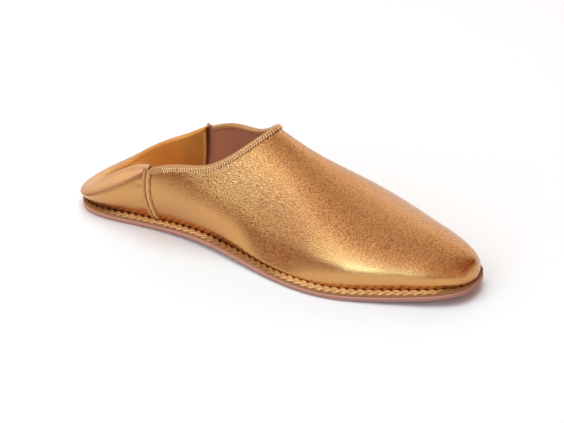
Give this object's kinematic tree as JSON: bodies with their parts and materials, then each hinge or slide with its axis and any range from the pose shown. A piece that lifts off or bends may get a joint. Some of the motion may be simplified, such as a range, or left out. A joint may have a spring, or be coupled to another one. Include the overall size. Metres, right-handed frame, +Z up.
{
  "type": "babouche slipper",
  "caption": "Backless pointed-toe leather slipper with its heel folded down inside, a stitched welt, a flat leather sole and a bound collar.",
  "frame": {"origin": "on the floor under the middle of the heel, on the sole's flat underside", "axes": "+X from heel to toe, +Y to the shoe's left, +Z up"},
  "size_m": [0.266, 0.0883, 0.0713],
  "materials": {
    "upper_leather": "metallic gold, soft sheen",
    "sole_leather": "natural, matte",
    "welt_leather": "metallic gold, stitched",
    "insole_leather": "natural, matte",
    "binding_leather": "metallic gold, overcast stitching",
    "seam_leather": "metallic gold, soft sheen"
  },
  "bodies": {
    "root": {"outsole": "sole_leather", "welt": "welt_leather", "insole": "insole_leather", "upper": "upper_leather", "collar_binding": "binding_leather", "side_seam_right": "seam_leather", "side_seam_left": "seam_leather"}
  },
  "joints": []
}
